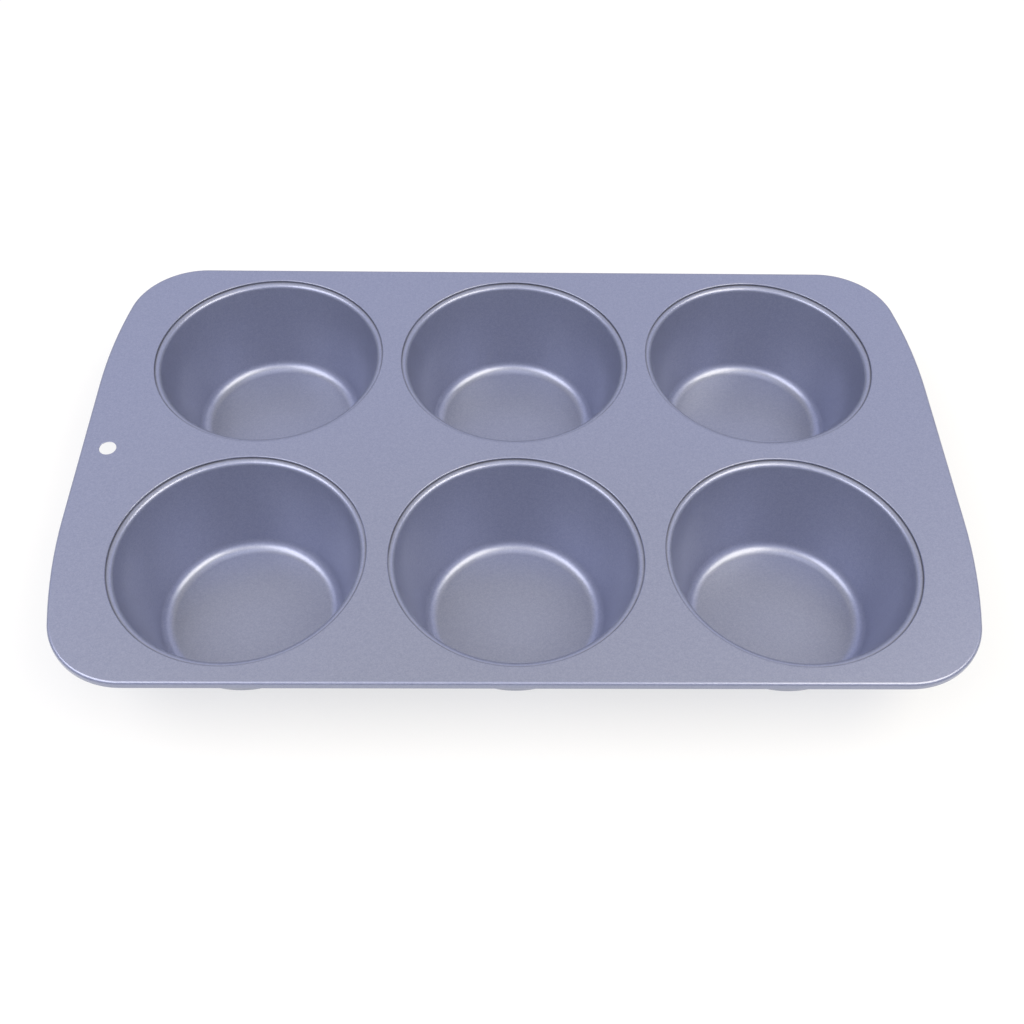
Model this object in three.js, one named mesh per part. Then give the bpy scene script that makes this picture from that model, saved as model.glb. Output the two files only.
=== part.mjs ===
// A muffin pan with six deep-drawn cups, each hooked into its own opening of a flat top plate by a
// folded lock seam. The plate's outer edge is rolled round a flat steel wire.
// Millimetres, +Z up. The origin is on the resting plane, under the middle of the pan: +X runs along
// the pan, away from the hang hole, and +Y runs across it to the back row of cups.
import * as THREE from "three";
import { mergeVertices } from "three/addons/utils/BufferGeometryUtils.js";

// The whole pan
const PAN_LENGTH = 345.2; // along X, over the rolled rim
const PAN_WIDTH = 214.5; // along Y, over the rolled rim
const PAN_HEIGHT = 41.6; // from the cup bases to the top of the plate
const CUP_PITCH = 104; // between cup centres, along X and along Y
const COLUMNS = { left: -1, center: 0, right: 1 }; // cup places along X, in pitches
const ROWS = { front: -0.5, back: 0.5 }; // cup places along Y, in pitches

// The sheet and its folds
const SHEET = 0.28; // coated steel sheet
const LAYER_GAP = 0.03; // clearance between two folded layers
const FOLD_RADIUS = (3 * SHEET + 2 * LAYER_GAP) / 2; // outside of a fold that holds one layer

// The outline of the plate: straight sides, ends that bow slightly towards round corners
const CORNER_RADIUS = 31.1;
const BOW_RADIUS = 230; // the slow curve from a straight end to a corner
const BOW_TURN = THREE.MathUtils.degToRad(11.8);

// The rolled rim and the flat wire inside it
const ROLL_RADIUS = 1.2; // outside of the roll's two bends
const ROLL_DROP = 1.4; // upright face between the bends
const FLAP_RISE = 1.2; // how far the free edge climbs behind the wire
const WIRE_GAP = 0.12;
const WIRE_RADIUS = ROLL_RADIUS - SHEET - WIRE_GAP; // rounded edges of the wire

// The lock seam of a cup, as radii from the cup's axis
const OPENING_RADIUS = 47.95; // nose of the plate's hem
const HEM_END_RADIUS = 50.2; // free edge of the hem, under the plate
const HOOK_END_RADIUS = 48.5; // free edge of the cup's hook, inside the hem
const SEAM_RADIUS = 51.2; // outside of the cup's fold

// The cup below its seam
const SHOULDER_RADIUS = 2.2; // food side of the rounded mouth
const SHOULDER_START_RADIUS = 47.4; // where the mouth begins to turn down
const BASE_RADIUS = 30.4; // the flat of the base
const BASE_CORNER_RADIUS = 6; // outside of the turn from base to wall

// The hang hole, punched in the left end
const HANG_HOLE_RADIUS = 3.35;
const HANG_HOLE_X = -162;

// Facets
const CUP_SEGMENTS = 32;
const HANG_HOLE_SEGMENTS = 12;
const BOW_STEPS = 3;
const CORNER_STEPS = 7;
const ROLL_STEPS = 3; // a quarter of a turn
const WIRE_STEPS = 4; // half a turn
const FOLD_STEPS = 4; // outside of a fold
const FOLD_INNER_STEPS = 2;
const SHOULDER_STEPS = 3;
const BASE_CORNER_STEPS = 3;

const FULL_TURN = 2 * Math.PI;
const HALF_TURN = Math.PI;
const QUARTER_TURN = Math.PI / 2;

// A vector of one length at an angle from the first axis of its plane.
function polar(radius, angle) {
  return new THREE.Vector2(Math.cos(angle), Math.sin(angle)).multiplyScalar(radius);
}

// Even steps from one angle to another, ends included.
function angleSteps(from, to, steps) {
  return Array.from({ length: steps + 1 }, (_, i) => from + ((to - from) * i) / steps);
}

// Points of a circular arc, in the plane of a section.
function arcPoints(center, radius, from, to, steps) {
  return angleSteps(from, to, steps).map((angle) => polar(radius, angle).add(center));
}

// A loop is a list of plan points, each with the direction in which a section reaches from it.
function loopPoint(x, y, angle) {
  return { x, y, out: polar(1, angle) };
}

// One corner of the pan, from the middle of its end to the middle of its long side.
function cornerPoints() {
  const bowRise = (BOW_RADIUS - CORNER_RADIUS) * Math.sin(BOW_TURN);
  const bowCenter = new THREE.Vector2(
    PAN_LENGTH / 2 - BOW_RADIUS,
    PAN_WIDTH / 2 - CORNER_RADIUS - bowRise,
  );
  const cornerCenter = polar(BOW_RADIUS - CORNER_RADIUS, BOW_TURN).add(bowCenter);
  const pointOn = (center, radius) => (angle) => {
    const { x, y } = polar(radius, angle).add(center);
    return { x, y, angle };
  };
  const bow = angleSteps(0, BOW_TURN, BOW_STEPS).slice(0, -1);
  const corner = angleSteps(BOW_TURN, QUARTER_TURN, CORNER_STEPS);
  return [
    ...bow.map(pointOn(bowCenter, BOW_RADIUS)),
    ...corner.map(pointOn(cornerCenter, CORNER_RADIUS)),
  ];
}

// The outer edge of the rim, anticlockwise, from one corner and its mirror images.
function panOutline() {
  const corner = cornerPoints();
  const reversed = [...corner].reverse();
  return [
    ...corner.map((p) => loopPoint(p.x, p.y, p.angle)),
    ...reversed.map((p) => loopPoint(-p.x, p.y, HALF_TURN - p.angle)),
    ...corner.map((p) => loopPoint(-p.x, -p.y, HALF_TURN + p.angle)),
    ...reversed.map((p) => loopPoint(p.x, -p.y, -p.angle)),
  ];
}

// An opening in the plate, clockwise round its centre, with sections that reach out by radius.
function openingLoop(x, y, segments) {
  const angles = angleSteps(0, -FULL_TURN, segments).slice(0, -1);
  return angles.map((angle) => loopPoint(x, y, angle));
}

// The points of a loop moved out by reach, at one height.
function ringAt(loop, { x: reach, y: height }) {
  return loop.map((p) => new THREE.Vector3(p.x + p.out.x * reach, p.y + p.out.y * reach, height));
}

// The skin between the rings of a section, carried round a loop.
function skin(loop, section) {
  const rings = section.map((point) => ringAt(loop, point));
  const triangles = [];
  for (let j = 0; j + 1 < rings.length; j++) {
    const [a, b] = [rings[j], rings[j + 1]];
    for (let i = 0; i < loop.length; i++) {
      const next = (i + 1) % loop.length;
      triangles.push(a[i], b[i], b[next], a[i], b[next], a[next]);
    }
  }
  return triangles;
}

// A flat face between an outer ring and the rings of its holes, facing up or down.
function flatFace(outer, holes, facesUp) {
  const points = [outer, ...holes].flat();
  const faces = THREE.ShapeUtils.triangulateShape(outer, holes);
  return faces.flatMap(([a, b, c]) => {
    const turn = (points[b].x - points[a].x) * (points[c].y - points[a].y)
      - (points[b].y - points[a].y) * (points[c].x - points[a].x);
    const order = turn > 0 === facesUp ? [a, b, c] : [a, c, b];
    return order.map((i) => points[i]);
  });
}

function closedGeometry(triangles) {
  return mergeVertices(new THREE.BufferGeometry().setFromPoints(triangles));
}

// Centres of the roll's upper and lower bend: reach is measured from the outer edge of the pan.
function rollCenters() {
  const upper = new THREE.Vector2(-ROLL_RADIUS, -ROLL_RADIUS);
  const lower = new THREE.Vector2(-ROLL_RADIUS, -ROLL_RADIUS - ROLL_DROP);
  return [upper, lower];
}

// The plate's edge rolled down in front of the wire, under it and up behind it.
function rollSection() {
  const [upper, lower] = rollCenters();
  const inner = ROLL_RADIUS - SHEET;
  const flapTop = lower.y + FLAP_RISE;
  return [
    ...arcPoints(upper, ROLL_RADIUS, QUARTER_TURN, 0, ROLL_STEPS),
    ...arcPoints(lower, ROLL_RADIUS, 0, -HALF_TURN, 2 * ROLL_STEPS),
    new THREE.Vector2(lower.x - ROLL_RADIUS, flapTop),
    new THREE.Vector2(lower.x - inner, flapTop),
    ...arcPoints(lower, inner, -HALF_TURN, 0, 2 * ROLL_STEPS),
    ...arcPoints(upper, inner, 0, QUARTER_TURN, ROLL_STEPS),
  ];
}

// An opening's edge folded down and out under the plate, to form the plate's half of a lock seam.
function hemSection() {
  const center = new THREE.Vector2(OPENING_RADIUS + FOLD_RADIUS, -FOLD_RADIUS);
  const underside = -2 * FOLD_RADIUS;
  const inner = FOLD_RADIUS - SHEET;
  return [
    ...arcPoints(center, FOLD_RADIUS, QUARTER_TURN, 3 * QUARTER_TURN, FOLD_STEPS),
    new THREE.Vector2(HEM_END_RADIUS, underside),
    new THREE.Vector2(HEM_END_RADIUS, underside + SHEET),
    ...arcPoints(center, inner, 3 * QUARTER_TURN, QUARTER_TURN, FOLD_INNER_STEPS),
  ];
}

function topPlateGeometry(cupPlaces) {
  const punched = [new THREE.Vector2(HANG_HOLE_RADIUS, 0), new THREE.Vector2(HANG_HOLE_RADIUS, -SHEET)];
  const rim = { loop: panOutline(), section: rollSection() };
  const openings = cupPlaces.map(([, x, y]) => ({
    loop: openingLoop(x, y, CUP_SEGMENTS),
    section: hemSection(),
  }));
  openings.push({ loop: openingLoop(HANG_HOLE_X, 0, HANG_HOLE_SEGMENTS), section: punched });
  const topRing = ({ loop, section }) => ringAt(loop, section[0]);
  const bottomRing = ({ loop, section }) => ringAt(loop, section.at(-1));
  return closedGeometry([
    ...flatFace(topRing(rim), openings.map(topRing), true),
    ...flatFace(bottomRing(rim), openings.map(bottomRing), false),
    ...[rim, ...openings].flatMap(({ loop, section }) => skin(loop, section)),
  ]);
}

// A flat wire with rounded edges, as deep as the roll: its section closes on itself.
function rimWireGeometry() {
  const [upper, lower] = rollCenters();
  const section = [
    ...arcPoints(upper, WIRE_RADIUS, HALF_TURN, 0, WIRE_STEPS),
    ...arcPoints(lower, WIRE_RADIUS, 0, -HALF_TURN, WIRE_STEPS),
  ];
  return closedGeometry(skin(panOutline(), [...section, section[0]]));
}

// Half the section of a cup, from its axis along the food side to the hook and back underneath.
function cupProfile() {
  const flangeTop = -2 * FOLD_RADIUS - LAYER_GAP;
  const flangeBottom = flangeTop - SHEET;
  const shoulder = new THREE.Vector2(SHOULDER_START_RADIUS, flangeTop - SHOULDER_RADIUS);
  const baseCorner = new THREE.Vector2(BASE_RADIUS, BASE_CORNER_RADIUS - PAN_HEIGHT);
  const fold = new THREE.Vector2(SEAM_RADIUS - FOLD_RADIUS, flangeBottom + FOLD_RADIUS);
  const hookTop = flangeBottom + 2 * FOLD_RADIUS;
  const foldInner = FOLD_RADIUS - SHEET;
  const cornerInner = BASE_CORNER_RADIUS - SHEET;
  // The wall is the straight line that touches the shoulder on one side and the base corner on the other.
  const run = shoulder.clone().sub(baseCorner);
  const wallTilt = Math.acos((SHOULDER_RADIUS + cornerInner) / run.length()) - run.angle();
  const mouth = HALF_TURN - wallTilt;
  return [
    new THREE.Vector2(0, SHEET - PAN_HEIGHT),
    ...arcPoints(baseCorner, cornerInner, -QUARTER_TURN, -wallTilt, BASE_CORNER_STEPS),
    ...arcPoints(shoulder, SHOULDER_RADIUS, mouth, QUARTER_TURN, SHOULDER_STEPS),
    ...arcPoints(fold, foldInner, -QUARTER_TURN, QUARTER_TURN, FOLD_INNER_STEPS),
    new THREE.Vector2(HOOK_END_RADIUS, hookTop - SHEET),
    new THREE.Vector2(HOOK_END_RADIUS, hookTop),
    ...arcPoints(fold, FOLD_RADIUS, QUARTER_TURN, -QUARTER_TURN, FOLD_STEPS),
    ...arcPoints(shoulder, SHOULDER_RADIUS - SHEET, QUARTER_TURN, mouth, SHOULDER_STEPS),
    ...arcPoints(baseCorner, BASE_CORNER_RADIUS, -wallTilt, -QUARTER_TURN, BASE_CORNER_STEPS),
    new THREE.Vector2(0, -PAN_HEIGHT),
  ];
}

// The silver-lavender non-stick coat of the sheet parts.
function coat() {
  return new THREE.MeshStandardMaterial({ color: 0x999cb5, roughness: 0.42, metalness: 0.6 });
}

function bareSteel() {
  return new THREE.MeshStandardMaterial({ color: 0x8e9096, roughness: 0.4, metalness: 1 });
}

function namedMesh(name, geometry, material) {
  const mesh = new THREE.Mesh(geometry, material);
  mesh.name = name;
  return mesh;
}

const cupPlaces = Object.entries(ROWS).flatMap(([row, across]) =>
  Object.entries(COLUMNS).map(([column, along]) => [
    `cup_${row}_${column}`,
    along * CUP_PITCH,
    across * CUP_PITCH,
  ]),
);

// Every piece is drawn from the plate's top face down, and the whole pan is then lifted onto its bases.
const assembly = new THREE.Group();
assembly.position.z = PAN_HEIGHT;
assembly.add(namedMesh("top_plate", topPlateGeometry(cupPlaces), coat()));
assembly.add(namedMesh("rim_wire", rimWireGeometry(), bareSteel()));

// A lathe skin faces outwards where its profile ends on the inner side.
const cupGeometry = new THREE.LatheGeometry(cupProfile().reverse(), CUP_SEGMENTS);
for (const [name, x, y] of cupPlaces) {
  const cup = namedMesh(name, cupGeometry, coat());
  cup.rotation.x = QUARTER_TURN;
  cup.position.set(x, y, 0);
  assembly.add(cup);
}

const pan = new THREE.Group();
pan.add(assembly);

export default pan;
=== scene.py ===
# %% [markdown]
# # A muffin pan of folded sheet steel
# The pan is made of thin coated sheet: a flat plate whose outer edge is rolled round a wire, and six
# drawn cups that hook into the plate. We load the measured model first, because it fixes where every
# piece goes, and then model each sheet part again with smooth bends and a real thickness.

# %% Load the measured frame
import math

import bmesh
import bpy
from mathutils import Matrix, Vector


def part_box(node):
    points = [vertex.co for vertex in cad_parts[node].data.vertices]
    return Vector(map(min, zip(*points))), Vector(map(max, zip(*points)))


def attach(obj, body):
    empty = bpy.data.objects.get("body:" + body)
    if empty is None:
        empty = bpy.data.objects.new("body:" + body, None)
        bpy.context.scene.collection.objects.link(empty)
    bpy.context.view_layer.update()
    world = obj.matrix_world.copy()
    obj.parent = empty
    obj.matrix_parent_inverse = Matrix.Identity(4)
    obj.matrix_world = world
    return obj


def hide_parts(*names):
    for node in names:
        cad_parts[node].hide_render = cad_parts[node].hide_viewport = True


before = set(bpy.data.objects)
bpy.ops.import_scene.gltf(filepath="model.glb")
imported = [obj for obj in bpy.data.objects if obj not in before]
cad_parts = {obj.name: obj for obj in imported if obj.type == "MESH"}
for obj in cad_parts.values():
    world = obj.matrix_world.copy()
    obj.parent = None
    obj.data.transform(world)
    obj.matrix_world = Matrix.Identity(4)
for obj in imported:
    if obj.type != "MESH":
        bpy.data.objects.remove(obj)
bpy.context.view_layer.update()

print("nodes in the frame:", ", ".join(sorted(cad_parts)))

# %% [markdown]
# ## Sizes
# A sheet part is described by its bends: where a bend sits, how tight it is and how far it turns. The
# outside of the pan and the places of the cups are read from the frame, so they can't drift away from
# it. The thickness of the sheet is named here, in millimetres turned into metres, and each piece names
# its own bends where it is made.

# %% Sizes from the frame and of the sheet
MM = 0.001
FULL_TURN = 2 * math.pi
HALF_TURN = FULL_TURN / 2
QUARTER_TURN = FULL_TURN / 4

plate_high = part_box("top_plate")[1]
PLATE_TOP = plate_high.z
HALF_LENGTH = plate_high.x
HALF_WIDTH = plate_high.y

cup_places = {}
for name in sorted(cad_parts):
    if name.startswith("cup_"):
        low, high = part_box(name)
        cup_places[name] = (low + high) / 2
        SEAM_RADIUS = (high.x - low.x) / 2

SHEET = 0.28 * MM
LAYER_GAP = 0.03 * MM
# A fold closes round one layer of sheet, with a gap on either side of it.
FOLD_RADIUS = (3 * SHEET + 2 * LAYER_GAP) / 2
print(f"plate top {PLATE_TOP / MM:.2f} mm, half size {HALF_LENGTH / MM:.2f} x {HALF_WIDTH / MM:.2f} mm")
print(f"{len(cup_places)} cups, seam radius {SEAM_RADIUS / MM:.2f} mm")

# %% [markdown]
# ## Drawing a section with straight runs and bends
# Sheet metal is only ever straight or bent, so its section can be drawn like a walk: go straight to a
# point, then bend about a centre. Extruding one vertex makes the straight run, and spinning one vertex
# makes a true arc, which is rounder than bevelling a corner and needs no list of points. Every section
# is drawn in the XZ plane, with X as the distance from the middle.

# %% Section tools
def straight(bm, tip, x, z):
    """Runs the sheet straight from its tip to (x, z) and returns the new tip."""
    new_tip = bmesh.ops.extrude_vert_indiv(bm, verts=[tip])["verts"][0]
    bmesh.ops.translate(bm, verts=[new_tip], vec=Vector((x, tip.co.y, z)) - tip.co)
    return new_tip


def bend(bm, tip, x, z, angle, steps):
    """Bends the sheet about (x, z); a positive angle turns from +X up to +Z."""
    turned = bmesh.ops.spin(
        bm, geom=[tip], cent=(x, tip.co.y, z), axis=(0, -1, 0), angle=angle, steps=steps
    )
    return turned["geom_last"][0]


def section_of(bm):
    """All that is drawn so far, as spin takes it."""
    return bm.verts[:] + bm.edges[:]


# %% [markdown]
# ## From a skin to a piece of sheet
# The drawn shape is the upper skin of the sheet, with no thickness. It gets merged where a spin meets
# itself, its faces are turned to the upper side, and the solidify operator then grows the sheet away
# from that side. Edges that turn sharply are marked, and a Weighted Normal modifier keeps the flat
# areas truly flat in the light, while the bends stay smooth.

# %% Skin tools
MERGE = 0.001 * MM
SHARP_ANGLE = math.radians(50)


def face_upwards(bm, on_top):
    """Turns the skin so that the face chosen by on_top looks up."""
    bmesh.ops.remove_doubles(bm, verts=bm.verts[:], dist=MERGE)
    bmesh.ops.recalc_face_normals(bm, faces=bm.faces[:])
    if min(bm.faces, key=on_top).normal.z < 0:
        bmesh.ops.reverse_faces(bm, faces=bm.faces[:])


def thicken(bm):
    """Grows the sheet below its upper skin and marks the cut edges as sharp."""
    bmesh.ops.solidify(bm, geom=bm.faces[:], thickness=SHEET)
    for edge in bm.edges:
        edge.smooth = edge.calc_face_angle(0) < SHARP_ANGLE


def make_piece(bm, name, node):
    """Puts a finished mesh into the scene in place of a node of the frame."""
    mesh = bpy.data.meshes.new(name)
    bm.to_mesh(mesh)
    bm.free()
    for polygon in mesh.polygons:
        polygon.use_smooth = True
    piece = bpy.data.objects.new(name, mesh)
    bpy.context.collection.objects.link(piece)
    even = piece.modifiers.new("even_shading", "WEIGHTED_NORMAL")
    even.keep_sharp = True
    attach(piece, "root")
    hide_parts(node)
    print(f"{name}: {len(mesh.polygons)} faces")
    return piece


# %% [markdown]
# ## The cups
# A cup is drawn deep from a round blank: a flat base, a round corner, a tapered wall and a rounded
# shoulder at the mouth. Its flange then hooks up and back inside the folded edge of the plate. Because
# it is round, one section spun about the cup's axis gives the whole skin. The wall is the straight
# line that touches both the shoulder and the base corner, so its tilt is worked out, not guessed.

# %% Section of a cup
SHOULDER_RADIUS = 2.2 * MM
SHOULDER_START = 47.4 * MM
BASE_RADIUS = 30.4 * MM
BASE_CORNER = 6 * MM - SHEET
HOOK_END = 48.5 * MM
BASE_STEPS, SHOULDER_STEPS, FOLD_STEPS, ROUND_STEPS = 12, 12, 8, 160

cup_floor = SHEET
flange_top = PLATE_TOP - 2 * FOLD_RADIUS - LAYER_GAP
fold_inner = FOLD_RADIUS - SHEET
corner_centre = Vector((BASE_RADIUS, cup_floor + BASE_CORNER))
shoulder_centre = Vector((SHOULDER_START, flange_top - SHOULDER_RADIUS))
run = shoulder_centre - corner_centre
wall_tilt = math.acos((SHOULDER_RADIUS + BASE_CORNER) / run.length) - math.atan2(run.y, run.x)
wall_turn = QUARTER_TURN - wall_tilt


def cup_skin(bm):
    """Draws the section of a cup from its axis to the hook, and spins it."""
    fold_x = SEAM_RADIUS - FOLD_RADIUS
    wall_end = shoulder_centre + SHOULDER_RADIUS * Vector((-math.cos(wall_tilt), math.sin(wall_tilt)))
    tip = bm.verts.new((0, 0, cup_floor))
    tip = straight(bm, tip, BASE_RADIUS, cup_floor)
    tip = bend(bm, tip, *corner_centre, wall_turn, BASE_STEPS)
    tip = straight(bm, tip, *wall_end)
    tip = bend(bm, tip, *shoulder_centre, -wall_turn, SHOULDER_STEPS)
    tip = straight(bm, tip, fold_x, flange_top)
    tip = bend(bm, tip, fold_x, flange_top + fold_inner, HALF_TURN, FOLD_STEPS)
    straight(bm, tip, HOOK_END, tip.co.z)
    bmesh.ops.spin(
        bm, geom=section_of(bm), cent=(0, 0, 0), axis=(0, 0, 1),
        angle=FULL_TURN, steps=ROUND_STEPS, use_merge=True,
    )


print(f"cup wall leans {math.degrees(wall_tilt):.1f} degrees, floor at {cup_floor / MM:.2f} mm")

# %% Make the six cups
coated = []
for name, place in cup_places.items():
    bm = bmesh.new()
    cup_skin(bm)
    face_upwards(bm, on_top=lambda face: face.calc_center_median().length)
    thicken(bm)
    bmesh.ops.translate(bm, verts=bm.verts[:], vec=(place.x, place.y, 0))
    coated.append(make_piece(bm, f"sheet_{name}", name))

# %% [markdown]
# ## The rolled rim
# The plate's edge is rolled down over a flat wire, under it and up behind it, all the way round an
# outline of straight sides, slightly bowed ends and round corners. A curve with a bevel profile could
# do this, but a spin keeps every arc exact: the roll is drawn once at the middle of the right end,
# carried straight, swung about the centre of the bow, swung about the centre of the corner and carried
# along the long side. That is a quarter of the rim, and two mirrors give the rest.

# %% Carry a section round the outline
ROLL_RADIUS = 1.2 * MM
ROLL_DROP = 1.4 * MM
FLAP_RISE = 1.2 * MM
CORNER_RADIUS = 31.1 * MM
BOW_RADIUS = 230 * MM
BOW_TURN = math.radians(11.8)
ROLL_STEPS, BOW_STEPS, CORNER_STEPS = 10, 8, 28

bow_rise = (BOW_RADIUS - CORNER_RADIUS) * math.sin(BOW_TURN)
bow_centre = Vector((HALF_LENGTH - BOW_RADIUS, HALF_WIDTH - CORNER_RADIUS - bow_rise, 0))
turn_to_corner = Vector((math.cos(BOW_TURN), math.sin(BOW_TURN), 0))
rim_corner = bow_centre + (BOW_RADIUS - CORNER_RADIUS) * turn_to_corner


def carry(bm, section, move):
    """Moves a section in a straight line, leaving a skin behind it."""
    return bmesh.ops.spin(bm, geom=section, axis=(0, 0, 1), dvec=move, angle=0, steps=1)["geom_last"]


def swing(bm, section, centre, angle, steps):
    """Swings a section about an upright axis, leaving a skin behind it."""
    return bmesh.ops.spin(
        bm, geom=section, cent=centre, axis=(0, 0, 1), angle=angle, steps=steps
    )["geom_last"]


def carry_round_outline(bm):
    """Takes the section that stands at the middle of the right end right round the pan."""
    section = carry(bm, section_of(bm), (0, bow_centre.y, 0))
    section = swing(bm, section, bow_centre, BOW_TURN, BOW_STEPS)
    section = swing(bm, section, rim_corner, QUARTER_TURN - BOW_TURN, CORNER_STEPS)
    carry(bm, section, (-rim_corner.x, 0, 0))
    for axis in ("X", "Y"):
        whole = bm.verts[:] + bm.edges[:] + bm.faces[:]
        bmesh.ops.mirror(bm, geom=whole, matrix=Matrix.Identity(4), merge_dist=MERGE, axis=axis)


upper_bend = Vector((HALF_LENGTH - ROLL_RADIUS, PLATE_TOP - ROLL_RADIUS))
lower_bend = upper_bend - Vector((0, ROLL_DROP))
plate = bmesh.new()
tip = plate.verts.new((upper_bend.x, 0, PLATE_TOP))
tip = bend(plate, tip, *upper_bend, -QUARTER_TURN, ROLL_STEPS)
tip = straight(plate, tip, HALF_LENGTH, lower_bend.y)
tip = bend(plate, tip, *lower_bend, -HALF_TURN, 2 * ROLL_STEPS)
straight(plate, tip, tip.co.x, lower_bend.y + FLAP_RISE)
carry_round_outline(plate)
print(f"rim skin: {len(plate.faces)} faces, corner centre {rim_corner.x / MM:.1f} mm from the middle")

# %% [markdown]
# ## The hemmed openings and the hang hole
# At each opening the plate is folded down and out under itself. That hem is half of the lock seam: the
# cup's hook sits inside it, which is why each mouth shows a fine dark line. The hem is one more spun
# section. The hang hole is only punched, so a plain circle of edges is enough.

# %% Hems and hang hole
OPENING_RADIUS = 47.95 * MM
HEM_END = 50.2 * MM
HANG_HOLE_RADIUS = 3.35 * MM
HANG_HOLE_X = -162 * MM
HANG_HOLE_STEPS = 64
HEM_STEPS = 12


def add_hem(bm, place):
    """Spins the folded edge of one opening about the axis of its cup."""
    older = set(bm.verts)
    fold_x = OPENING_RADIUS + FOLD_RADIUS
    first = bm.verts.new((fold_x, 0, PLATE_TOP))
    tip = bend(bm, first, fold_x, PLATE_TOP - FOLD_RADIUS, HALF_TURN, HEM_STEPS)
    straight(bm, tip, HEM_END, tip.co.z)
    section = [vert for vert in bm.verts if vert not in older]
    section += [edge for edge in bm.edges if not older.intersection(edge.verts)]
    bmesh.ops.spin(
        bm, geom=section, cent=(0, 0, 0), axis=(0, 0, 1),
        angle=FULL_TURN, steps=ROUND_STEPS, use_merge=True,
    )
    ring = [vert for vert in bm.verts if vert not in older]
    bmesh.ops.translate(bm, verts=ring, vec=(place.x, place.y, 0))


for place in cup_places.values():
    add_hem(plate, place)
bmesh.ops.create_circle(
    plate, segments=HANG_HOLE_STEPS, radius=HANG_HOLE_RADIUS,
    matrix=Matrix.Translation((HANG_HOLE_X, 0, PLATE_TOP)),
)
print(f"with hems and hang hole: {len(plate.faces)} faces")

# %% [markdown]
# ## The flat of the plate
# Now the rim, the hems and the hang hole all end in open loops at the same height. Filling those loops
# in one go gives a flat face with every hole left open, and its edges are shared with the bends, so the
# sheet is one connected skin before it gets its thickness. The edge of the hang hole is then rounded a
# little, as a coat rounds any punched edge.

# %% Fill, thicken and finish the plate
PUNCH_ROUND = 0.12 * MM
PUNCH_STEPS = 2


def at_height(edge, height):
    """Whether an edge lies level at this height."""
    return all(abs(vert.co.z - height) < MERGE for vert in edge.verts)


def on_hang_hole(edge):
    """Whether an edge lies on the upper or lower rim of the hang hole."""
    reach = [math.hypot(vert.co.x - HANG_HOLE_X, vert.co.y) for vert in edge.verts]
    level = abs(edge.verts[0].co.z - edge.verts[1].co.z) < MERGE
    return level and max(reach) < HANG_HOLE_RADIUS + MERGE


bmesh.ops.remove_doubles(plate, verts=plate.verts[:], dist=MERGE)
loops = [edge for edge in plate.edges if not edge.is_manifold and at_height(edge, PLATE_TOP)]
bmesh.ops.triangle_fill(plate, use_beauty=True, edges=loops, normal=(0, 0, 1))
face_upwards(plate, on_top=lambda face: -face.calc_area())
thicken(plate)
punched = [edge for edge in plate.edges if on_hang_hole(edge)]
bmesh.ops.bevel(
    plate, geom=punched, offset=PUNCH_ROUND, offset_type="OFFSET", segments=PUNCH_STEPS,
    profile=0.5, affect="EDGES", material=-1,
)
print(f"{len(loops)} loop edges filled, {len(punched)} punched edges rounded")
coated.append(make_piece(plate, "sheet_plate", "top_plate"))

# %% [markdown]
# ## The wire in the rim
# A flat wire with rounded edges stiffens the rolled edge. It only shows as a glint through the slit of
# the roll from below, but it carries the rim, so it is a piece of its own: two half circles and two
# straight sides, carried round the same outline.

# %% Rim wire
WIRE_GAP = 0.12 * MM
WIRE_RADIUS = ROLL_RADIUS - SHEET - WIRE_GAP
WIRE_STEPS = 10

wire = bmesh.new()
tip = wire.verts.new((upper_bend.x + WIRE_RADIUS, 0, upper_bend.y))
tip = bend(wire, tip, *upper_bend, HALF_TURN, WIRE_STEPS)
tip = straight(wire, tip, upper_bend.x - WIRE_RADIUS, lower_bend.y)
tip = bend(wire, tip, *lower_bend, HALF_TURN, WIRE_STEPS)
straight(wire, tip, upper_bend.x + WIRE_RADIUS, upper_bend.y)
carry_round_outline(wire)
bmesh.ops.remove_doubles(wire, verts=wire.verts[:], dist=MERGE)
bmesh.ops.recalc_face_normals(wire, faces=wire.faces[:])
wire_piece = make_piece(wire, "wire_rim", "rim_wire")

# %% [markdown]
# ## The flake in the coat
# The coat is a satin silver-lavender enamel full of fine metal flake. Close up the surface is a
# sparkle of tiny grains, each a shade lighter or darker. A Voronoi texture gives every grain its own
# random shade, and a soft noise gathers the grains into slightly lighter and darker patches. The group
# only puts out values, so that any coated piece can use it with its own strength.

# %% Flake group
def new_group(name, inputs, outputs):
    """An empty shader node group with named float sockets and one vector input."""
    group = bpy.data.node_groups.new(name, "ShaderNodeTree")
    group.interface.new_socket("Vector", in_out="INPUT", socket_type="NodeSocketVector")
    for socket, value in inputs.items():
        made = group.interface.new_socket(socket, in_out="INPUT", socket_type="NodeSocketFloat")
        made.default_value = value
    for socket in outputs:
        group.interface.new_socket(socket, in_out="OUTPUT", socket_type="NodeSocketFloat")
    start = group.nodes.new("NodeGroupInput")
    end = group.nodes.new("NodeGroupOutput")
    return group, start.outputs, end.inputs


def math_node(tree, operation, first, second):
    """A Math node whose two inputs are numbers or sockets."""
    node = tree.nodes.new("ShaderNodeMath")
    node.operation = operation
    for socket, value in zip(node.inputs, (first, second)):
        if isinstance(value, (int, float)):
            socket.default_value = value
        else:
            tree.links.new(value, socket)
    return node.outputs["Value"]


def noise_node(tree, vector, scale, detail):
    """A soft noise with so many waves to the metre."""
    node = tree.nodes.new("ShaderNodeTexNoise")
    node.inputs["Scale"].default_value = scale
    node.inputs["Detail"].default_value = detail
    tree.links.new(vector, node.inputs["Vector"])
    return node.outputs["Fac"]


FLAKES_PER_METRE = 2600
CLUSTERS_PER_METRE = 700

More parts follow.
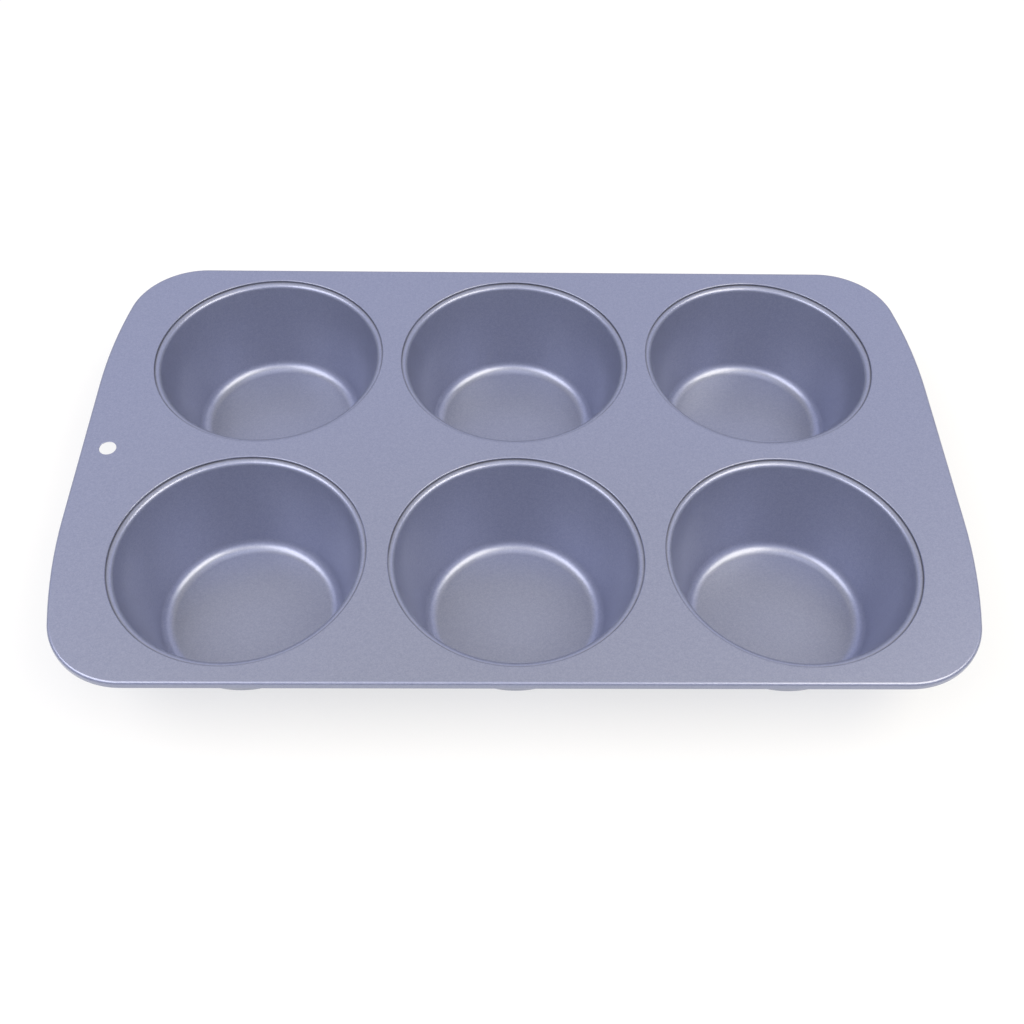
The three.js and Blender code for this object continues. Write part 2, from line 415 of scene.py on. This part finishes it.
flake, given, out = new_group("metal_flake", {"Contrast": 1.0}, ("Shade", "Height"))
grain = flake.nodes.new("ShaderNodeTexVoronoi")
grain.inputs["Scale"].default_value = FLAKES_PER_METRE
flake.links.new(given["Vector"], grain.inputs["Vector"])
single = flake.nodes.new("ShaderNodeSeparateColor")
flake.links.new(grain.outputs["Color"], single.inputs["Color"])
cluster = noise_node(flake, given["Vector"], CLUSTERS_PER_METRE, detail=2)
both = math_node(flake, "ADD", single.outputs["Red"], cluster)
centred = math_node(flake, "SUBTRACT", both, 1.0)
scaled = math_node(flake, "MULTIPLY", centred, given["Contrast"])
flake.links.new(math_node(flake, "ADD", scaled, 0.5), out["Shade"])
flake.links.new(single.outputs["Green"], out["Height"])
print(f"flake group: {FLAKES_PER_METRE} grains to the metre, {len(flake.nodes)} nodes")

# %% [markdown]
# ## Drift in the coat and rubbed bases
# A sprayed coat is never quite even: its shade and gloss drift slowly over a hand's width. And a pan
# slides on oven shelves, so the underside of every base is rubbed a little brighter. Both are small,
# but without them the metal looks like a flat colour. The height above the shelf is read from Object
# coordinates, which are the pan's own, and the rub fades out within the thickness of the sheet, so the
# inside of a cup keeps its clean coat.

# %% Drift and rub groups
DRIFTS_PER_METRE = 9
RUB_HEIGHT = 0.25 * MM
RUBS_PER_METRE = 160

drift, given, out = new_group("spray_drift", {}, ("Drift",))
drift.links.new(noise_node(drift, given["Vector"], DRIFTS_PER_METRE, detail=3), out["Drift"])

rub, given, out = new_group("shelf_rub", {"Height": RUB_HEIGHT}, ("Rub",))
split = rub.nodes.new("ShaderNodeSeparateXYZ")
rub.links.new(given["Vector"], split.inputs["Vector"])
left = math_node(rub, "SUBTRACT", given["Height"], split.outputs["Z"])
depth = math_node(rub, "DIVIDE", left, given["Height"])
low_down = math_node(rub, "MAXIMUM", depth, 0.0)
patchy = noise_node(rub, given["Vector"], RUBS_PER_METRE, detail=4)
rub.links.new(math_node(rub, "MULTIPLY", low_down, patchy), out["Rub"])
print(f"rub fades out {RUB_HEIGHT / MM:.2f} mm above the shelf")

# %% [markdown]
# ## Painted shade in the seams
# The crevice under the nose of a hem lies in shadow, and a thin dark colour is painted there as painted
# shade, which deepens the fine line round each mouth. The mask needs the distance from the nearest cup
# axis. The cups stand symmetrically, so folding the pan over with absolute values brings all six axes
# onto one place, and a single length then serves every cup.

# %% Painted seam shade group
SEAM_SHADE_HALF_WIDTH = 0.9 * MM
SEAM_SHADE_PATCHES_PER_METRE = 45
PATCH_START, PATCH_FULL = 0.1, 0.6
SEAM_SHADE_TOP = PLATE_TOP - 0.8 * FOLD_RADIUS
SEAM_SHADE_FULL = PLATE_TOP - 1.6 * FOLD_RADIUS
CUP_PITCH = max(place.y for place in cup_places.values()) * 2


def vector_node(tree, operation, first, second=(0, 0, 0)):
    """The output sockets of a Vector Math node on a socket and a constant."""
    node = tree.nodes.new("ShaderNodeVectorMath")
    node.operation = operation
    tree.links.new(first, node.inputs[0])
    node.inputs[1].default_value = second
    return node.outputs


def ramp(tree, value, start, end):
    """0 up to start and 1 from end on, with a smooth change between."""
    node = tree.nodes.new("ShaderNodeMapRange")
    node.interpolation_type = "SMOOTHSTEP"
    node.inputs["From Min"].default_value = start
    node.inputs["From Max"].default_value = end
    tree.links.new(value, node.inputs["Value"])
    return node.outputs["Result"]


# A dark mask in the crevice under the nose of each hem: painted shade where the seam lies in shadow.
seam_shade, given, out = new_group("painted_seam_shade", {"Amount": 1.0}, ("SeamShade",))
half_pitch = CUP_PITCH / 2
folded = vector_node(seam_shade, "ABSOLUTE", given["Vector"])["Vector"]
folded = vector_node(seam_shade, "SUBTRACT", folded, (half_pitch, half_pitch, 0))["Vector"]
folded = vector_node(seam_shade, "ABSOLUTE", folded)["Vector"]
folded = vector_node(seam_shade, "SUBTRACT", folded, (half_pitch, 0, 0))["Vector"]
folded = vector_node(seam_shade, "MULTIPLY", folded, (1, 1, 0))["Vector"]
from_axis = vector_node(seam_shade, "LENGTH", folded)["Value"]
beyond_line = math_node(seam_shade, "SUBTRACT", from_axis, OPENING_RADIUS)
off_line = math_node(seam_shade, "ABSOLUTE", beyond_line, 0.0)
on_line = ramp(seam_shade, off_line, SEAM_SHADE_HALF_WIDTH, 0.0)
split = seam_shade.nodes.new("ShaderNodeSeparateXYZ")
seam_shade.links.new(given["Vector"], split.inputs["Vector"])
under_nose = ramp(seam_shade, split.outputs["Z"], SEAM_SHADE_TOP, SEAM_SHADE_FULL)
patches = noise_node(seam_shade, given["Vector"], SEAM_SHADE_PATCHES_PER_METRE, detail=3)
patchy = ramp(seam_shade, patches, PATCH_START, PATCH_FULL)
crevice = math_node(seam_shade, "MULTIPLY", on_line, under_nose)
in_crevice = math_node(seam_shade, "MULTIPLY", crevice, patchy)
seam_shade.links.new(math_node(seam_shade, "MULTIPLY", in_crevice, given["Amount"]), out["SeamShade"])
print(f"residue follows circles of {OPENING_RADIUS / MM:.1f} mm, {CUP_PITCH / MM:.1f} mm apart")

# %% [markdown]
# ## The coat material
# A flake enamel is part metal, part pigment, so Metallic sits between the two, and the satin comes
# from a middling Roughness. The flake shade mixes two near colours, the drift moves the gloss a little,
# and a very shallow bump breaks up the reflections as the grains do. A thin clear layer over the flake
# keeps the highlights nearly white, because it mirrors a lamp without tinting it.

# %% Coat
def new_material(name):
    """A material with its Principled shader and the pan's own coordinates."""
    material = bpy.data.materials.new(name)
    material.use_nodes = True
    tree = material.node_tree
    shader = tree.nodes["Principled BSDF"]
    place = tree.nodes.new("ShaderNodeTexCoord").outputs["Object"]
    return material, tree, shader, place


def use_group(tree, group, vector, **values):
    """Places a shared group in a material, with its own values."""
    node = tree.nodes.new("ShaderNodeGroup")
    node.node_tree = group
    tree.links.new(vector, node.inputs["Vector"])
    for socket, value in values.items():
        node.inputs[socket].default_value = value
    return node.outputs


def mix_colors(tree, factor, dark, light):
    """Goes from dark to light with the factor; each is a colour or a socket."""
    node = tree.nodes.new("ShaderNodeMix")
    node.data_type = "RGBA"
    for socket, value in (("A", dark), ("B", light)):
        target = next(s for s in node.inputs if s.name == socket and s.type == "RGBA")
        if isinstance(value, tuple):
            target.default_value = (*value, 1)
        else:
            tree.links.new(value, target)
    tree.links.new(factor, node.inputs["Factor"])
    return next(s for s in node.outputs if s.type == "RGBA")


def spread(tree, value, middle, amount):
    """Turns a value around 0.5 into one around middle."""
    offset = math_node(tree, "SUBTRACT", value, 0.5)
    return math_node(tree, "ADD", math_node(tree, "MULTIPLY", offset, amount), middle)


FLAKE_DARK = (0.253, 0.279, 0.403)
FLAKE_LIGHT = (0.346, 0.369, 0.500)
RUBBED = (0.46, 0.47, 0.56)
# Near-black colour of the painted shade in the seam crevices.
PAINTED_SEAM_SHADE = (0.05, 0.045, 0.045)
SEAM_SHADE_AMOUNT = 0.75
COAT_METALLIC = 0.6
FLAKE_CONTRAST = 0.48
COAT_ROUGHNESS = 0.34
GLOSS_DRIFT = 0.10
GRAIN_DEPTH = 0.02 * MM
GRAIN_RELIEF = 0.15
CLEAR_WEIGHT = 0.5
CLEAR_ROUGHNESS = 0.22

coat, tree, shader, place = new_material("flake_coat")
grains = use_group(tree, flake, place, Contrast=FLAKE_CONTRAST)
gloss = use_group(tree, drift, place)
rubbed = use_group(tree, rub, place)
enamel = mix_colors(tree, grains["Shade"], FLAKE_DARK, FLAKE_LIGHT)
worn = mix_colors(tree, rubbed["Rub"], enamel, RUBBED)
# Paints shade into the seam crevices: the colour goes near-black there and the metal is taken out.
seam_shading = use_group(tree, seam_shade, place, Amount=SEAM_SHADE_AMOUNT)
tree.links.new(mix_colors(tree, seam_shading["SeamShade"], worn, PAINTED_SEAM_SHADE), shader.inputs["Base Color"])
unshaded = math_node(tree, "SUBTRACT", 1.0, seam_shading["SeamShade"])
tree.links.new(math_node(tree, "MULTIPLY", unshaded, COAT_METALLIC), shader.inputs["Metallic"])
tree.links.new(spread(tree, gloss["Drift"], COAT_ROUGHNESS, GLOSS_DRIFT), shader.inputs["Roughness"])
shader.inputs["Coat Weight"].default_value = CLEAR_WEIGHT
shader.inputs["Coat Roughness"].default_value = CLEAR_ROUGHNESS
relief = tree.nodes.new("ShaderNodeBump")
relief.inputs["Strength"].default_value = GRAIN_RELIEF
relief.inputs["Distance"].default_value = GRAIN_DEPTH
tree.links.new(grains["Height"], relief.inputs["Height"])
tree.links.new(relief.outputs["Normal"], shader.inputs["Normal"])
for piece in coated:
    piece.data.materials.append(coat)
print(f"coat on {len(coated)} pieces")

# %% [markdown]
# ## The wire's steel
# Drawn wire is bare steel with a faint lengthwise grain and a grey bloom. It is nearly hidden, so a
# fine noise on its colour and roughness is all that it needs.

# %% Drawn steel
STEEL_DARK = (0.20, 0.205, 0.215)
STEEL_LIGHT = (0.40, 0.405, 0.42)
STEEL_ROUGHNESS = 0.42
BLOOM_DULLING = 0.3
BLOOMS_PER_METRE = 420

steel, tree, shader, place = new_material("drawn_steel")
bloom = noise_node(tree, place, BLOOMS_PER_METRE, detail=5)
tree.links.new(mix_colors(tree, bloom, STEEL_DARK, STEEL_LIGHT), shader.inputs["Base Color"])
tree.links.new(spread(tree, bloom, STEEL_ROUGHNESS, BLOOM_DULLING), shader.inputs["Roughness"])
shader.inputs["Metallic"].default_value = 1.0
wire_piece.data.materials.append(steel)
print("steel on", wire_piece.name)

# %% [markdown]
# ## Floor and light
# The pan stands on a plain white floor under a studio sky that is bright overhead and dims towards
# the horizon. That fall-off matters on metal: a rounded edge mirrors the whole sky, so it only reads as
# round if the sky changes. Two broad lamps, high on the left and right, put the long highlights on the
# shoulders of the cups, and a weak one in front joins them. The floor is an ordinary white surface that
# takes the shadow, with a little emission for rays from the camera or off the metal, so that it reads
# as white without any more light falling on the pan. Far away it dims to the tone of the horizon.

# %% Sky
HORIZON = (0.30, 0.31, 0.34)
HALF_WAY = (0.73, 0.76, 1.02)
HIGH_UP = (0.62, 0.56, 0.37)
OVERHEAD = (1.2, 1.26, 1.55)
# The upward part of the direction, from 0 at the horizon to 1 overhead, and the tone there.
SKY_HEIGHTS = {0.28: HORIZON, 0.645: HALF_WAY, 0.93: HIGH_UP, 1.0: OVERHEAD}

world = bpy.data.worlds.new("studio")
bpy.context.scene.world = world
world.use_nodes = True
tree = world.node_tree
direction = tree.nodes.new("ShaderNodeTexCoord").outputs["Generated"]
height = vector_node(tree, "DOT_PRODUCT", direction, (0, 0, 1))["Value"]
sky = tree.nodes.new("ShaderNodeValToRGB")
sky.color_ramp.interpolation = "EASE"
elements = sky.color_ramp.elements
for stop in sorted(SKY_HEIGHTS)[1:-1]:
    elements.new(stop)
for element, (stop, tone) in zip(elements, SKY_HEIGHTS.items()):
    element.position = stop
    element.color = (*tone, 1)
tree.links.new(height, sky.inputs["Fac"])
tree.links.new(sky.outputs["Color"], tree.nodes["Background"].inputs["Color"])
print(f"sky from {HORIZON[1]} at the horizon to {OVERHEAD[1]} overhead")

# %% Lamps
# Where each lamp stands as seen from the plate, its power and its tint.
LAMPS = {
    "left": ((-0.58, -0.20, 0.79), 7.0, (1.0, 0.97, 0.92)),
    "front": ((0.0, -0.53, 0.85), 1.9, (1.0, 0.97, 0.94)),
    "right": ((0.53, -0.20, 0.82), 8.8, (1.0, 0.92, 0.70)),
}
LAMP_DISTANCE = 1.3
LAMP_LENGTH, LAMP_WIDTH = 1.1, 0.55

for side, (towards, power, tint) in LAMPS.items():
    lamp = bpy.data.lights.new(f"softbox_{side}", "AREA")
    lamp.shape = "RECTANGLE"
    lamp.size = LAMP_LENGTH
    lamp.size_y = LAMP_WIDTH
    lamp.energy = power
    lamp.color = tint
    holder = bpy.data.objects.new(f"softbox_{side}", lamp)
    aim = Vector(towards)
    holder.location = aim * LAMP_DISTANCE + Vector((0, 0, PLATE_TOP))
    holder.rotation_euler = aim.to_track_quat("Z", "Y").to_euler()
    bpy.context.collection.objects.link(holder)
bpy.context.scene.view_settings.view_transform = "Standard"
print(f"{len(LAMPS)} lamps at {LAMP_DISTANCE} m")

# %% Floor
FLOOR_HALF = 20.0
FLOOR_WHITE = 0.30
FLOOR_LIFT = 0.68
FLOOR_ROUGHNESS = 0.9
WHITE_REACH, DIM_REACH = 1.5, 5.0

bm = bmesh.new()
bmesh.ops.create_grid(bm, x_segments=1, y_segments=1, size=FLOOR_HALF)
floor_mesh = bpy.data.meshes.new("floor")
bm.to_mesh(floor_mesh)
bm.free()
floor = bpy.data.objects.new("floor", floor_mesh)
bpy.context.collection.objects.link(floor)

white, tree, shader, place = new_material("white_floor")
path = tree.nodes.new("ShaderNodeLightPath").outputs
seen = math_node(tree, "MAXIMUM", path["Is Camera Ray"], path["Is Glossy Ray"])
seen = math_node(tree, "MAXIMUM", seen, path["Is Transmission Ray"])
reach = vector_node(tree, "LENGTH", place)["Value"]
dimming = ramp(tree, reach, WHITE_REACH, DIM_REACH)
plain = mix_colors(tree, dimming, (FLOOR_WHITE,) * 3, (0.0, 0.0, 0.0))
tree.links.new(plain, shader.inputs["Base Color"])
lift = mix_colors(tree, dimming, (FLOOR_LIFT,) * 3, HORIZON)
tree.links.new(lift, shader.inputs["Emission Color"])
tree.links.new(seen, shader.inputs["Emission Strength"])
shader.inputs["Roughness"].default_value = FLOOR_ROUGHNESS
shader.inputs["Specular IOR Level"].default_value = 0.0
floor_mesh.materials.append(white)
print(f"floor {2 * FLOOR_HALF:.0f} m square, white for {WHITE_REACH} m round the pan")

# %% [markdown]
# ## The camera
# The camera stands in front of the pan and looks down into the cups. Its place is given from the middle
# of the plate's top, and its turn as a heading, a tilt up from straight down and a small roll.

# %% Camera
CAMERA_FROM_PLATE = Vector((-8.75, -321.55, 369.4)) * MM
CAMERA_HEADING = math.radians(-1.43)
CAMERA_TILT = math.radians(38.145)
CAMERA_ROLL = math.radians(1.355)
CAMERA_LENS = 43.06
SENSOR_WIDTH = 36
NEAR_LIMIT = 10 * MM

view = bpy.data.cameras.new("view")
view.sensor_width = SENSOR_WIDTH
view.lens = CAMERA_LENS
view.clip_start = NEAR_LIMIT
camera = bpy.data.objects.new("view", view)
place = Matrix.Translation(CAMERA_FROM_PLATE + Vector((0, 0, PLATE_TOP)))
turn = Matrix.Rotation(CAMERA_HEADING, 4, "Z") @ Matrix.Rotation(CAMERA_TILT, 4, "X")
camera.matrix_world = place @ turn @ Matrix.Rotation(CAMERA_ROLL, 4, "Z")
bpy.context.collection.objects.link(camera)
bpy.context.scene.camera = camera
print("camera at", [round(c, 4) for c in camera.matrix_world.translation])
